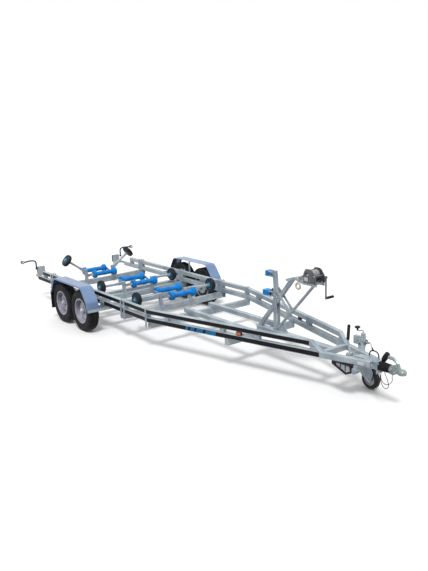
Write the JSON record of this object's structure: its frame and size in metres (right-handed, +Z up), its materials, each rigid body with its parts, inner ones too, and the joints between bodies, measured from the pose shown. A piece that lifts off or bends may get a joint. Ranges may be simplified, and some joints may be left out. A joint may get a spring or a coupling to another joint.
{
  "type": "boat trailer",
  "caption": "Tandem-axle galvanised boat trailer with double rails, rocking keel rollers, side wheels, bow stop, hand winch and a jockey wheel beside the overrun coupling.",
  "frame": {"origin": "on the floor under the middle of the trailer's overall length and width", "axes": "+X forward to the coupling, +Y to the left side, +Z up"},
  "size_m": [7.435, 2.47, 1.312],
  "materials": {
    "galvanised": "hot-dip galvanised steel, pale blue-grey with a fine spangle",
    "painted_rail": "galvanised rail whose outer face carries a plain black stripe",
    "tyre": "black tyre rubber",
    "rim": "silver painted steel rim",
    "roller": "bright blue moulded roller",
    "side_wheel": "black rubber wheel with a blue hub",
    "winch_steel": "dark grey zinc plated winch steel",
    "black_plastic": "black plastic and rubber",
    "coupling": "zinc plated cast coupling",
    "lamp": "red lamp lens",
    "cable": "black sheathed cable"
  },
  "bodies": {
    "chassis": {"lower_rail_right": "painted_rail", "lower_rail_left": "painted_rail", "upper_rail_right": "painted_rail", "upper_rail_left": "painted_rail", "rail_spacers": "galvanised", "rail_clamps": "galvanised", "roller_crossbeams": "galvanised", "frame_crossbeams": "galvanised", "centre_tubes": "galvanised", "axle_rear": "galvanised", "axle_front": "galvanised", "fender_right": "galvanised", "fender_left": "galvanised", "fender_brackets": "galvanised", "side_arms": "galvanised", "winch_post": "galvanised", "bow_post": "galvanised", "jockey_sleeve": "galvanised", "handbrake_bracket": "galvanised", "lamp_carriers": "galvanised", "mud_flaps": "black_plastic", "bow_blocks": "roller", "winch_frame": "winch_steel", "overrun_housing": "galvanised", "bellows": "black_plastic", "coupling_head": "coupling", "coupling_handle": "coupling", "rear_lamps": "lamp", "outline_markers": "black_plastic", "plug_lead": "cable", "breakaway_cable": "cable"},
    "road_wheel_rear_right": {"tyre_rear_right": "tyre", "rim_rear_right": "rim"},
    "road_wheel_rear_left": {"tyre_rear_left": "tyre", "rim_rear_left": "rim"},
    "road_wheel_front_right": {"tyre_front_right": "tyre", "rim_front_right": "rim"},
    "road_wheel_front_left": {"tyre_front_left": "tyre", "rim_front_left": "rim"},
    "cradle_rear": {"cradle_rear": "galvanised"},
    "keel_roller_rear_back": {"keel_roller_rear_back": "roller"},
    "keel_roller_rear_fore": {"keel_roller_rear_fore": "roller"},
    "side_wheel_rear_right": {"side_wheel_rear_right": "side_wheel"},
    "side_wheel_rear_left": {"side_wheel_rear_left": "side_wheel"},
    "cradle_middle": {"cradle_middle": "galvanised"},
    "keel_roller_middle_back": {"keel_roller_middle_back": "roller"},
    "keel_roller_middle_fore": {"keel_roller_middle_fore": "roller"},
    "side_wheel_middle_right": {"side_wheel_middle_right": "side_wheel"},
    "side_wheel_middle_left": {"side_wheel_middle_left": "side_wheel"},
    "cradle_front": {"cradle_front": "galvanised"},
    "keel_roller_front_back": {"keel_roller_front_back": "roller"},
    "keel_roller_front_fore": {"keel_roller_front_fore": "roller"},
    "side_wheel_front_right": {"side_wheel_front_right": "side_wheel"},
    "side_wheel_front_left": {"side_wheel_front_left": "side_wheel"},
    "winch_crank": {"winch_crank": "winch_steel"},
    "winch_drum": {"winch_drum": "winch_steel"},
    "jockey_mast": {"jockey_mast": "galvanised"},
    "jockey_fork": {"jockey_fork": "galvanised"},
    "jockey_wheel": {"jockey_wheel": "side_wheel"},
    "handbrake_lever": {"handbrake_lever": "galvanised"}
  },
  "joints": [
    {"name": "road_wheel_rear_right_spin", "type": "hinge", "parent": "chassis", "child": "road_wheel_rear_right", "pos_m": [-1.8825, -1.122, 0.312], "axis": [0, 1, 0], "continuous": true},
    {"name": "road_wheel_rear_left_spin", "type": "hinge", "parent": "chassis", "child": "road_wheel_rear_left", "pos_m": [-1.8825, 1.122, 0.312], "axis": [0, 1, 0], "continuous": true},
    {"name": "road_wheel_front_right_spin", "type": "hinge", "parent": "chassis", "child": "road_wheel_front_right", "pos_m": [-1.2225, -1.122, 0.312], "axis": [0, 1, 0], "continuous": true},
    {"name": "road_wheel_front_left_spin", "type": "hinge", "parent": "chassis", "child": "road_wheel_front_left", "pos_m": [-1.2225, 1.122, 0.312], "axis": [0, 1, 0], "continuous": true},
    {"name": "cradle_rear_rock", "type": "hinge", "parent": "chassis", "child": "cradle_rear", "pos_m": [-2.8925, 0, 0.448], "axis": [0, 1, 0], "range_deg": [-12, 12]},
    {"name": "keel_roller_rear_back_spin", "type": "hinge", "parent": "cradle_rear", "child": "keel_roller_rear_back", "pos_m": [-3.0885, 0, 0.492], "axis": [0, 1, 0], "continuous": true},
    {"name": "keel_roller_rear_fore_spin", "type": "hinge", "parent": "cradle_rear", "child": "keel_roller_rear_fore", "pos_m": [-2.6965, 0, 0.492], "axis": [0, 1, 0], "continuous": true},
    {"name": "side_wheel_rear_right_spin", "type": "hinge", "parent": "chassis", "child": "side_wheel_rear_right", "pos_m": [-2.8925, -0.605, 0.765], "axis": [0, -0.8092, 0.5875], "continuous": true},
    {"name": "side_wheel_rear_left_spin", "type": "hinge", "parent": "chassis", "child": "side_wheel_rear_left", "pos_m": [-2.8925, 0.605, 0.765], "axis": [0, 0.8092, 0.5875], "continuous": true},
    {"name": "cradle_middle_rock", "type": "hinge", "parent": "chassis", "child": "cradle_middle", "pos_m": [-1.5425, 0, 0.497], "axis": [0, 1, 0], "range_deg": [-12, 12]},
    {"name": "keel_roller_middle_back_spin", "type": "hinge", "parent": "cradle_middle", "child": "keel_roller_middle_back", "pos_m": [-1.7385, 0, 0.541], "axis": [0, 1, 0], "continuous": true},
    {"name": "keel_roller_middle_fore_spin", "type": "hinge", "parent": "cradle_middle", "child": "keel_roller_middle_fore", "pos_m": [-1.3465, 0, 0.541], "axis": [0, 1, 0], "continuous": true},
    {"name": "side_wheel_middle_right_spin", "type": "hinge", "parent": "chassis", "child": "side_wheel_middle_right", "pos_m": [-1.5425, -0.662, 0.535], "axis": [0, -1, 0], "continuous": true},
    {"name": "side_wheel_middle_left_spin", "type": "hinge", "parent": "chassis", "child": "side_wheel_middle_left", "pos_m": [-1.5425, 0.662, 0.535], "axis": [0, 1, 0], "continuous": true},
    {"name": "cradle_front_rock", "type": "hinge", "parent": "chassis", "child": "cradle_front", "pos_m": [-0.4525, 0, 0.497], "axis": [0, 1, 0], "range_deg": [-12, 12]},
    {"name": "keel_roller_front_back_spin", "type": "hinge", "parent": "cradle_front", "child": "keel_roller_front_back", "pos_m": [-0.6485, 0, 0.541], "axis": [0, 1, 0], "continuous": true},
    {"name": "keel_roller_front_fore_spin", "type": "hinge", "parent": "cradle_front", "child": "keel_roller_front_fore", "pos_m": [-0.2565, 0, 0.541], "axis": [0, 1, 0], "continuous": true},
    {"name": "side_wheel_front_right_spin", "type": "hinge", "parent": "chassis", "child": "side_wheel_front_right", "pos_m": [-0.4525, -0.662, 0.535], "axis": [0, -1, 0], "continuous": true},
    {"name": "side_wheel_front_left_spin", "type": "hinge", "parent": "chassis", "child": "side_wheel_front_left", "pos_m": [-0.4525, 0.662, 0.535], "axis": [0, 1, 0], "continuous": true},
    {"name": "winch_crank_spin", "type": "hinge", "parent": "chassis", "child": "winch_crank", "pos_m": [2.4655, 0, 1.185], "axis": [0, 1, 0], "continuous": true},
    {"name": "winch_drum_spin", "type": "hinge", "parent": "chassis", "child": "winch_drum", "pos_m": [2.4135, 0, 1.24], "axis": [0, 1, 0], "continuous": true},
    {"name": "jockey_mast_slide", "type": "slide", "parent": "chassis", "child": "jockey_mast", "axis": [0, 0, 1], "range_m": [0, 0.1]},
    {"name": "jockey_fork_swivel", "type": "hinge", "parent": "jockey_mast", "child": "jockey_fork", "pos_m": [2.9675, 0.23202, 0.228], "axis": [0, 0, 1], "continuous": true},
    {"name": "jockey_wheel_spin", "type": "hinge", "parent": "jockey_fork", "child": "jockey_wheel", "pos_m": [3.0855, 0.23202, 0.114], "axis": [0, 1, 0], "continuous": true},
    {"name": "handbrake_pull", "type": "hinge", "parent": "chassis", "child": "handbrake_lever", "pos_m": [2.9805, 0, 0.438], "axis": [0, 1, 0], "range_deg": [0, 72]}
  ],
  "couplings": [
    {"joint": "winch_drum_spin", "follows": "winch_crank_spin", "ratio": -0.25}
  ]
}
